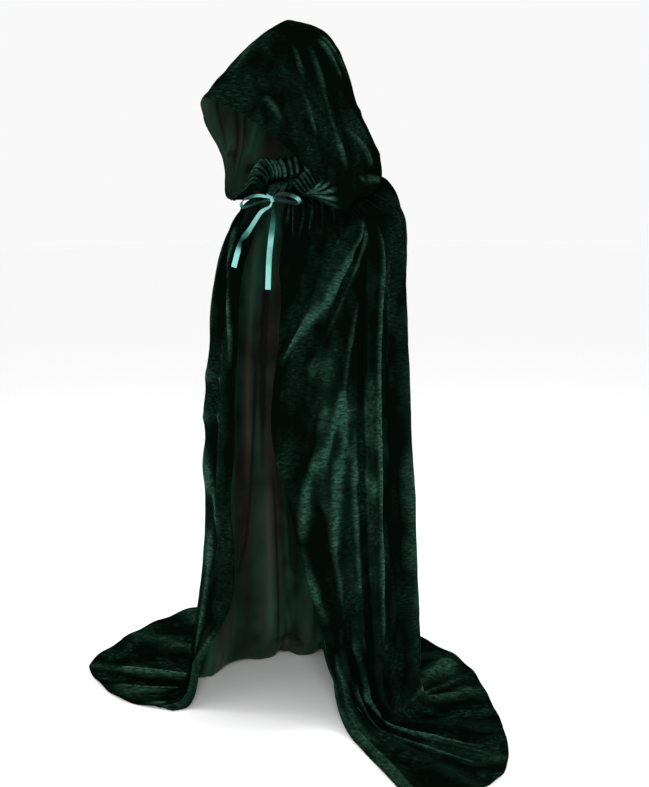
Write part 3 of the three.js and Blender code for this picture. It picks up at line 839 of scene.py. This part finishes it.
def body_panel(name, k, columns, rows, front_edge):
    us = close(k, k + 1, columns, at_low=0.75, at_high=0.75)
    vs = np.concatenate([
        close(0, 3, rows // 4, at_low=0.6)[:-1],
        close(3, LAST_RING, rows // 2)[:-1],
        close(LAST_RING, HEM_FALL, rows // 4, at_high=0.8),
    ])
    place, fall = np.meshgrid(us, vs)
    points = body_point(place, fall)
    across, down = arcs(points, 1), arcs(points, 0)
    from_right, from_left = across, across[:, -1:] - across
    from_hem, from_neck = down[-1:] - down, down
    edges = ((from_right, front_edge == "right"), (from_left, front_edge == "left"))
    lift = crease_lift(points, BODY_CREASES[name], body_point)
    uneven = 1 + 0.35 * lumps(points, 60, 1)
    fine_gathers = np.cos(2 * np.pi * (place * FINE_GATHERS + 0.16 * np.sin(place * 37)))
    lift += 1.5 * fine_gathers * uneven * ease(from_neck, 14, 30) * (1 - ease(fall, 1.2, 3.6))
    # seen from inside through the neck, the stand's gathers run on into the body
    behind = 1 - ease(np.abs(place - 2), 1.3, 1.6)
    inner = np.cos(np.pi * HOOD_GATHERS * place) * ease(from_neck, 2, 9) * (1 - ease(fall, 0.9, 1.8)) * behind
    lift += 3.6 * inner
    limp = (1.5 * lumps(points, 85, 3) + 0.7 * lumps(points, 34, 9)) * ease(from_neck, 20, 60)
    lift += limp * (1 - 0.75 * ease(fall, 15.2, 16))
    # a seam holds its two panels level, so every crease stops short of it
    for distance, is_free in edges:
        lift *= 1 if is_free else ease(distance, -3, 10)
    # the colour gets a painted highlight on every ridge and painted shade in every trough, plus the paler
    # patches, which are partly laid-over pile and partly painted sheen
    nap = lift / 7.4 + 0.25 * fold_lift(place, np.minimum(fall, LAST_RING)) / 12
    nap += brushed_and_painted_sheen(place, fall, lumps(points, 55, 12))
    # inside the neck, where the gathers lie in shadow, their colour is painted brighter, with painted
    # highlights on their crowns and painted shade between them
    nap = mix(nap, 0.6 - 0.8 * inner, (1 - ease(fall, 0.9, 1.5)) * behind)
    lift += hem_lift(from_hem)
    lift += 1.1 * ridge((from_neck - CASING) / 8) - 0.9 * np.exp(-(((from_neck - CASING_STITCH) / 2.5) ** 2))
    for distance, is_free in edges:
        if is_free:
            lift += hem_lift(distance)
        else:
            lift += -1.6 * np.exp(-((distance / 5) ** 2)) * ease(from_neck, 10, 25)
    lift *= ease(from_neck, -1, 3)
    if front_edge:
        # lower down, the edge rolls outwards and shows its pile along a paler band, a painted sheen on the
        # rolled edge
        distance = from_right if front_edge == "right" else from_left
        width = 36 * ease(fall, 10.4, 15.4)
        band = np.where(width > 1, 1 - ease(distance, 0.82 * width, width + 2), 0)
        lift -= 3.2 * np.exp(-(((distance - width - 3) / 5) ** 2)) * ease(width, 6, 26)
        nap += 0.5 * band * ease(width, 4, 20)
    points = points + facing(points) * lift[..., None]
    # the floor is under the hem
    points[..., 2] = np.maximum(points[..., 2], CLOTH)
    points = lapped(points, k > 0, k < 3)
    # inside the neck the pile is turned in, and the woven back shows below it
    turned_in = [2 if v < NECK_FACING else 0 for v in vs]
    return make_cloth(name + "_panel", points, across, down, np.clip(nap, -0.6, 1.05),
                      [PILE, BACK, PILE, PILE], 1, turned_in)


def lapped(points, at_right, at_left):
    """Carries the sewn edges a little past the seam's line."""
    if at_right:
        points[:, 0] -= unit(points[:, 1] - points[:, 0]) * SEAM_LAP / 2
    if at_left:
        points[:, -1] -= unit(points[:, -2] - points[:, -1]) * SEAM_LAP / 2
    return points


PANELS = {
    "front_right": body_panel("front_right", 0, 130, 190, "right"),
    "back_right": body_panel("back_right", 1, 140, 190, ""),
    "back_left": body_panel("back_left", 2, 140, 190, ""),
    "front_left": body_panel("front_left", 3, 150, 200, "left"),
}
print({name: len(made.data.polygons) for name, made in PANELS.items()})

# %% [markdown]
# ## The hood
#
# Both halves are cut alike and sewn together from the crown down to the nape, which leaves a seam that
# dips along the middle. The gathers of its stand show inside the opening, bunched over the hidden
# casing. Long soft creases hang from the crown, and shorter ones lie across where the cloth rests on
# the shoulders.

# %% The creases of the hood, the same words as for the body
HOOD_CREASES = {
    True: creases("""
    0.78 12.9 0.34 8.6 0.02 8 5.5
    0.66 11.8 0.42 8.8 0.02 5 -4
    0.88 12.6 0.5 6.6 0.05 9 5
    0.98 12.8 0.72 7.4 0.03 7 -4
    0.6 13.85 0.2 13.3 0 13 4
    0.4 13.2 0.16 11.6 0.03 8 -3.5
    0.24 11.6 0.14 10.2 0.03 13 5
    0.34 11.4 0.24 9.2 0.02 6 -3
    0.96 12.4 1.1 10.6 0.02 9 6
    1.06 12.6 1.3 10.6 0.02 9 5
    0.84 9.4 1.1 7 0.1 14 6
    0.62 7.4 1 6.4 0.15 8 -4
    0.7 6.8 1.2 6.2 0.2 11 5
    1.3 7.8 1.8 7.2 0.3 14 5
    1.5 12.6 1.5 8 0.04 12 -4
    1.24 9.8 1.6 9.2 0.2 10 3
    1.6 11 1.95 10.4 0.3 12 4
    """),
    False: creases("""
    0.5 13 0.38 7.2 0.04 10 4.5
    0.74 13 0.62 6.8 -0.05 9 4
    0.62 12.4 0.5 7 0.03 6 -3.5
    0.96 12.8 0.86 7.8 0.03 12 -4
    1.16 12.6 1.2 8.2 -0.03 12 4
    0.22 12.2 0.14 9.2 0.03 9 4
    0.74 7.4 1.26 7.2 0.3 14 5
    1.34 7.6 1.84 7.4 0.3 14 5
    1.56 12.4 1.6 8.2 0.04 12 -4
    0 6.2 0.3 4.4 0.1 8 3
    0.06 9.2 0.3 8.2 0.2 9 4
    0.9 10.2 1.46 9.4 -0.3 10 3
    1.62 10.8 1.95 10.2 -0.3 12 4
    """),
}


# %% Shape one half of the hood
def hood_half(is_left):
    us = close(0, 2, 224, at_low=0.5, at_high=0.4)
    vs = np.concatenate([close(0, 6, 66)[:-1], close(6, HOOD_TOP, 92, at_high=0.5)])
    run, row = np.meshgrid(us, vs)
    surface = lambda u, v: hood_point(is_left, u, v)
    points = surface(run, row)
    across, down = arcs(points, 1), arcs(points, 0)
    # the sheet's points face the wearer, so what stands out of the hood is a negative lift
    outside = -ease(row, 3.6, 5.4) + (1 - ease(row, 3.6, 5.4))
    lift = crease_lift(points, HOOD_CREASES[is_left], surface) * outside
    limp = 1.3 * lumps(points, 70, 21 + is_left) + 0.6 * lumps(points, 28, 25 + is_left)
    lift += limp * ease(row, 3.5, 6)
    wave = 0.5 + 0.5 * np.cos(np.pi * HOOD_GATHERS * run + 0.6 * np.sin(run * 19))
    sharper = 2 * wave**1.8 - 0.8  # narrow crowns with wide valleys between them
    behind = ease(run, 0.5, 0.9)
    gathers = ease(row, 0.1, 0.8) * (1 - ease(row, mix(2.6, 1.9, behind), mix(3.8, 2.9, behind)))
    gathers *= ease(run, 0.02, 0.3) * mix(0.45, 1, behind)
    lift += 1.9 * gathers * sharper * (1 + 0.5 * lumps(points, 40, 31))
    # in front, finer gathers run on from the tie over the crest and fan out in the flaps
    flap = ease(row, 1.5, 3) * (1 - ease(row, 4.9, 5.8)) * ease(run, 0.02, 0.12) * (1 - ease(run, 0.55, 0.8))
    fans = np.cos(2 * np.pi * (FLAP_GATHERS * run + 0.2 * np.sin(9 * run) + 0.05 * row))
    lift += (2.0 if is_left else 1.2) * flap * fans * (1 + 0.4 * lumps(points, 45, 33))
    # the colour gets a painted highlight on the hood's ridges and painted shade in its troughs, and painted
    # highlights on the stand's gathers, which lie in shadow, and on the flaps' fine gathers
    nap = lift * outside / 6.6 * ease(row, 3.8, 5.2)
    nap += gathers * (1.1 + 0.7 * sharper) + flap * (0.5 + 0.35 * fans)
    # and from the tie they spread like the ribs of a fan into the hood's lower front corner
    up, along_edge = (row - 5.15) / 1.75, run / 0.44
    spread = np.hypot(up, along_edge)
    ribs = np.cos(FAN_RIBS * np.arctan2(np.maximum(up, 0), along_edge + 1e-6) + 0.8 * np.sin(5 * spread))
    corner = ease(row, 5.1, 5.4) * ease(spread, 0.05, 0.35) * (1 - ease(spread, 0.75, 1.15))
    lift += -2.4 * corner * ribs
    # the fan's ribs get painted highlights, with painted shade between them
    nap += corner * (0.5 + 0.7 * ribs)
    lift += -hem_lift(across) * np.where(row > 4, 1, -1) * ease(row, 0.3, 1)
    seam = np.exp(-(((down[-1:] - down) / 5) ** 2)) + np.exp(-(((across[:, -1:] - across) / 5) ** 2))
    lift += 1.5 * np.minimum(seam, 1) * ease(row, 5, 7)
    way = facing(points) * (-1 if is_left else 1)
    points = points + way * (lift * ease(down, 0, 6))[..., None]
    keep = 1 if is_left else -1
    points[..., 0] = keep * np.maximum(keep * points[..., 0], 0)
    points[-1, :, 0] = points[:, -1, 0] = -keep * SEAM_LAP / 2
    name = "hood_half_" + ("left" if is_left else "right")
    pile_rows = [0 if v < HOOD_FACING else 1 for v in vs]
    return make_cloth(name, points, across, down, np.clip(nap, -0.6, 1.8),
                      [PILE, BACK, PILE, PILE], 2, pile_rows, turned=is_left, edge=2)


HOOD = {"hood_left": hood_half(True), "hood_right": hood_half(False)}
print({name: len(made.data.polygons) for name, made in HOOD.items()})

# %% [markdown]
# ## The ribbon
#
# A satin ribbon 15 mm wide runs in the casing, comes out at both front corners and is tied in a bow.
# Satin's long floating threads lie along the ribbon, so it shines in streaks along its length, and the
# cross threads under them give it faint ribs. Each run is a strip that follows the middle line of its
# solid and is gathered to a few folds where it goes into the knot.

# %% The satin
def ribbon_satin():
    m = new_material("pale teal satin ribbon")
    flat = node(m, "ShaderNodeUVMap", {"uv_map": "cloth"}).outputs[0]
    # cross threads about 0.11 mm apart
    ribs = node(m, "ShaderNodeTexWave", {"bands_direction": "Y"}, Vector=flat, Scale=2850.0)
    gleam = node(m, "ShaderNodeAttribute", {"attribute_name": "gleam"}).outputs["Fac"]
    place = node(m, "ShaderNodeTexCoord").outputs["Object"]
    # the base colour is painted light: the per-vertex gleam paints highlights and shade along the ribbon
    level = maths(m, "MULTIPLY_ADD", blotches(m, place, 60.0, Detail=2.0), 0.25, gleam)
    base = ramp(m, level, "0.15 #071b17, 0.55 #285a52, 1 #79b5ad")
    bump = node(m, "ShaderNodeBump", Strength=0.12, Distance=0.0002, Height=ribs.outputs[1])
    face = node(m, "ShaderNodeBsdfPrincipled", Base_Color=base, Roughness=0.34, Normal=bump.outputs[0])
    face.inputs["Specular Tint"].default_value = colour("#55b5a7")
    face.inputs["Specular IOR Level"].default_value = 0.09
    face.inputs["Anisotropic"].default_value = 0.5
    node(m, "ShaderNodeOutputMaterial", Surface=face.outputs[0])
    return m


def paint_gleam(sheet, value_of):
    """Satin that turns its floats from the light is dark, so each vertex says how bright its colour is
    painted, from painted shade to painted highlight.
    """
    layer = sheet.verts.layers.float.new("gleam")
    for vert in sheet.verts:
        vert[layer] = float(value_of(vert))


SATIN = ribbon_satin()
RIBBON_WIDTH = 15
RIBBON_THICK = 0.7  # woven satin is thinner than its solid
LOOP_SHARE, OPEN_SHARE = 0.7, 0.88  # of its solid's width, because the ribbon looks that narrow
print(SATIN.name)

# %% The runs of the ribbon
# the last column is painted light: how far each row's colour is painted towards a highlight
RIBBON = "x y z nx ny nz w gleam"
RUNS = {
    "ribbon_loop_left": table(RIBBON, """
    11 -107.2 1288 0 -0.8 0.6 6 0.4
    22 -111 1292 0 -0.8 0.6 8 0
    46 -117 1298 0 -0.8 0.6 14 0
    84 -120 1295 0.2 -0.8 0.55 15 0
    112 -117 1285 1 -0.3 0.3 15 0.85
    112 -112 1274 0.6 0.5 -0.8 15 0.2
    84 -111 1276 0 0.75 -0.65 15 0
    46 -110 1281 0 0.8 -0.6 13 0
    22 -109 1283 0 0.8 -0.6 7 0
    11 -106.5 1283.5 0 0.8 -0.6 4 0.2
    """),
    "ribbon_loop_right": table(RIBBON, """
    3 -107.2 1288 0 -0.8 0.6 6 0.9
    -8 -111 1291 0 -0.8 0.6 8 0.9
    -30 -120 1294 0 -0.8 0.6 14 0.7
    -64 -127 1288 -0.2 -0.8 0.55 15 0.1
    -86 -127 1276 -1 -0.3 0.3 15 0.8
    -84 -123 1265 -0.6 0.5 -0.8 15 0.4
    -60 -122 1269 0 0.75 -0.65 15 0.1
    -30 -116 1277 0 0.8 -0.6 13 0.1
    -9 -109 1282 0 0.8 -0.6 7 0.2
    3 -106.5 1283.5 0 0.8 -0.6 4 0.4
    """),
    "ribbon_tail_right": table(RIBBON, """
    4.4 -105 1279 0 -1 0.3 4 0.8
    0.5 -109 1267 0 -1 0.3 8 0.9
    -9 -130 1252 0.1 -1 0.2 15 0.8
    -24 -155 1209 0.3 -1 0.1 15 0.6
    -40 -168 1182 1 0.3 0 15 0.15
    -46 -174 1155 0.9 -0.5 0 15 0.8
    -53 -181 1118 0.7 -0.75 0 15 0.95
    """),
    "ribbon_tail_left": table(RIBBON, """
    9.6 -105 1279 0.1 -1 0.2 4 0.1
    13 -109 1267 0.2 -1 0.2 8 0
    24 -119 1232 0.4 -0.9 0.1 15 0.2
    31 -133 1184 0.7 -0.7 0 15 0.8
    43 -150 1136 0.6 -0.8 0 15 0.7
    59 -168 1067 0.7 -0.7 0 15 0.95
    """),
    "ribbon_neck_left": table(RIBBON, """
    36.2 -86.8 1295 0.5 -0.7 0.6 9 0.1
    28 -92 1293 0.4 -0.8 0.6 9 0.1
    18 -97.5 1290 0.2 -0.8 0.6 7 0.15
    9 -102.5 1287.5 0 -0.8 0.6 5 0.2
    """),
    "ribbon_neck_right": table(RIBBON, """
    -34 -89.1 1295.5 -0.5 -0.7 0.6 9 0.6
    -24 -93 1293 -0.4 -0.8 0.6 9 0.8
    -7 -98.5 1290 -0.2 -0.8 0.6 7 0.9
    5 -102.5 1287.5 0 -0.8 0.6 5 0.9
    """),
}


def ribbon_run(name, rows, columns=12, per_row=14):
    last = len(rows["w"]) - 1
    u, v = np.meshgrid(np.linspace(-0.5, 0.5, columns + 1), np.linspace(0, last, last * per_row + 1))
    middle = lambda at: stack(*(along(rows, axis, np.clip(at, 0, last)) for axis in "xyz"))
    way = middle(v + STEP) - middle(v - STEP)
    across = unit(np.cross(way, stack(*(along(rows, axis, v) for axis in ("nx", "ny", "nz")))))
    width = along(rows, "w", v) * (LOOP_SHARE if "loop" in name else OPEN_SHARE)
    points = middle(v) + across * (u * width)[..., None]
    face = unit(np.cross(across, way))
    # narrow places are gathered: the ribbon's full width lies there in three small folds
    folds = 0.9 * np.clip((RIBBON_WIDTH - width) / 9, 0, 1) * np.cos(u * 3 * 2 * np.pi)
    cup = 0.5 * (1 - (2 * u) ** 2) * ridge((v / last - 0.6) / 0.6)
    points = points + face * (folds + cup - 0.25)[..., None]
    sheet, rank = grid_object(name, points, arcs(points, 1), arcs(points, 0))
    shine = np.interp(v, np.arange(last + 1), rows["gleam"]).reshape(-1)
    paint_gleam(sheet, lambda vert: shine[rank[vert.index]])
    return finish_sheet(name + "_satin", sheet, [SATIN], RIBBON_THICK, 0)


BOW = {name: ribbon_run(name, rows) for name, rows in RUNS.items()}
print(len(BOW), "runs of ribbon")

# %% [markdown]
# ## The knot
#
# The knot is a short band of the same ribbon pulled tight round the middle. Pulled satin makes a small
# plump bead with creases that run round it. It starts as an operator's sphere, is scaled to the band's
# size, and every vertex is then moved in or out by a few uneven waves.

# %% Tie the knot
KNOT_SIZE = Vector((RIBBON_WIDTH, 10, 16))
KNOT_MIDDLE = Vector((7, -105, 1284))


def tie_knot():
    bead = bmesh.new()
    bmesh.ops.create_uvsphere(bead, u_segments=64, v_segments=40, radius=0.5)
    for vert in bead.verts:
        turn = math.atan2(vert.co.y, vert.co.z)
        across = vert.co.x * 2
        wave = math.cos(9 * across + 1.1 * math.sin(2 * turn)) * (1 - across**2)
        vert.co *= 0.97 + 0.03 * wave
    bmesh.ops.scale(bead, vec=KNOT_SIZE * MM, verts=bead.verts)
    bmesh.ops.translate(bead, vec=(KNOT_MIDDLE - Vector((0, 0, NECK_HEIGHT))) * MM, verts=bead.verts)
    for face in bead.faces:
        face.smooth = True
    # the knot's colour is painted with one even, fairly bright gleam
    paint_gleam(bead, lambda vert: 0.75)
    return mesh_object("bow_knot", bead, [SATIN])


KNOT_PIECE = tie_knot()
print("the knot is", [round(v * 1000, 1) for v in KNOT_PIECE.dimensions], "mm")

# %% [markdown]
# ## Which piece stands for which solid
#
# Every piece rides on the one body that the cloak has and replaces its solid, which is hidden. The
# widths and lengths of the velvet are rough guesses, and don't match the sheets: measured along the
# cloth, the body panels are 1.81 to 2.02 m long, and the hood's halves 0.48 m wide and 0.72 m long. The
# areas are 2 to 9% above those of the sheets.

for name, made in {**PANELS, **HOOD, **BOW, "ribbon_knot": KNOT_PIECE}.items():
    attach(made, "root")
    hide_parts(name)

# %% [markdown]
# ## Floor, light and camera
#
# A pale floor under soft light shows dark cloth best: big lamps give velvet its wide, gentle glow at
# the edges of every fold. The camera stands where the photographer did, about 3.4 m in front of the
# cloak and to its left, with its lens at 1.25 m.

# %% Set the floor and the lamps
def lay_floor():
    ground = bmesh.new()
    bmesh.ops.create_grid(ground, x_segments=1, y_segments=1, size=40)
    bmesh.ops.translate(ground, vec=(0, 0, -NECK_HEIGHT * MM - 0.001), verts=ground.verts)
    pale = new_material("pale painted floor")
    paint = node(pale, "ShaderNodeBsdfPrincipled", Base_Color=colour("#fefefe"), Roughness=0.6)
    node(pale, "ShaderNodeOutputMaterial", Surface=paint.outputs[0])
    return mesh_object("floor", ground, [pale])


def soft_lamp(name, place, size, power):
    lamp = bpy.data.lights.new(name, "AREA")
    lamp.shape, lamp.size, lamp.energy = "DISK", size, power
    made = placed_object(name, lamp)
    made.location = place
    made.rotation_euler = (LIT - Vector(place)).to_track_quat("-Z", "Y").to_euler()
    return made


LIT = Vector((0, 0, -0.2))  # the lamps point at the middle of the chest
FLOOR = lay_floor()
LAMPS = [
    soft_lamp("key lamp", (2.9, -2.7, 0.35), 1.0, 105),
    soft_lamp("side lamp", (-3.2, -2.2, 0.9), 1.6, 55),
    soft_lamp("lamp behind", (2.6, 2.6, 2.2), 1.8, 70),
]
world = bpy.data.worlds.new("bright studio")
bpy.context.scene.world = world
world.use_nodes = True
world.node_tree.nodes["Background"].inputs[0].default_value = colour("#ffffff")
world.node_tree.nodes["Background"].inputs[1].default_value = 0.95
bpy.context.scene.view_settings.view_transform = "Standard"  # a pale backdrop stays as pale as it is lit
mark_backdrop(FLOOR, *LAMPS)
print(len(LAMPS), "soft lamps")

# %% Stand the camera at the photograph's angle
CAMERA = {"azimuth": 47, "distance": 3.4, "height": 1.25, "lens": 61.1, "down": 7.68, "aside": 0.96}


def stand_camera():
    turn = math.radians(CAMERA["azimuth"])
    lens = bpy.data.cameras.new("camera")
    lens.lens, lens.sensor_width, lens.sensor_fit = CAMERA["lens"], 36, "AUTO"
    made = placed_object("camera", lens)
    made.location = (
        math.sin(turn) * CAMERA["distance"],
        -math.cos(turn) * CAMERA["distance"],
        CAMERA["height"] - NECK_HEIGHT * MM,
    )
    made.rotation_euler = (
        math.radians(90 - CAMERA["down"]), 0, turn - math.radians(CAMERA["aside"]),
    )
    bpy.context.scene.camera = made
    return made


print("the camera is at", [round(v, 2) for v in stand_camera().location])

# %% [markdown]
# ## The size of the sheets against the solids
#
# The sheets should fill the same box as the solids, or the cloak would no longer fit where its solid
# does. Both boxes are written down, so that they can be compared.

# %% Print the two boxes
size_now = [list(corner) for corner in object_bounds()]
for label, (low, high) in {"cad": cad_box, "visual": size_now}.items():
    print(label, [round(b - a, 4) for a, b in zip(low, high)], "m")
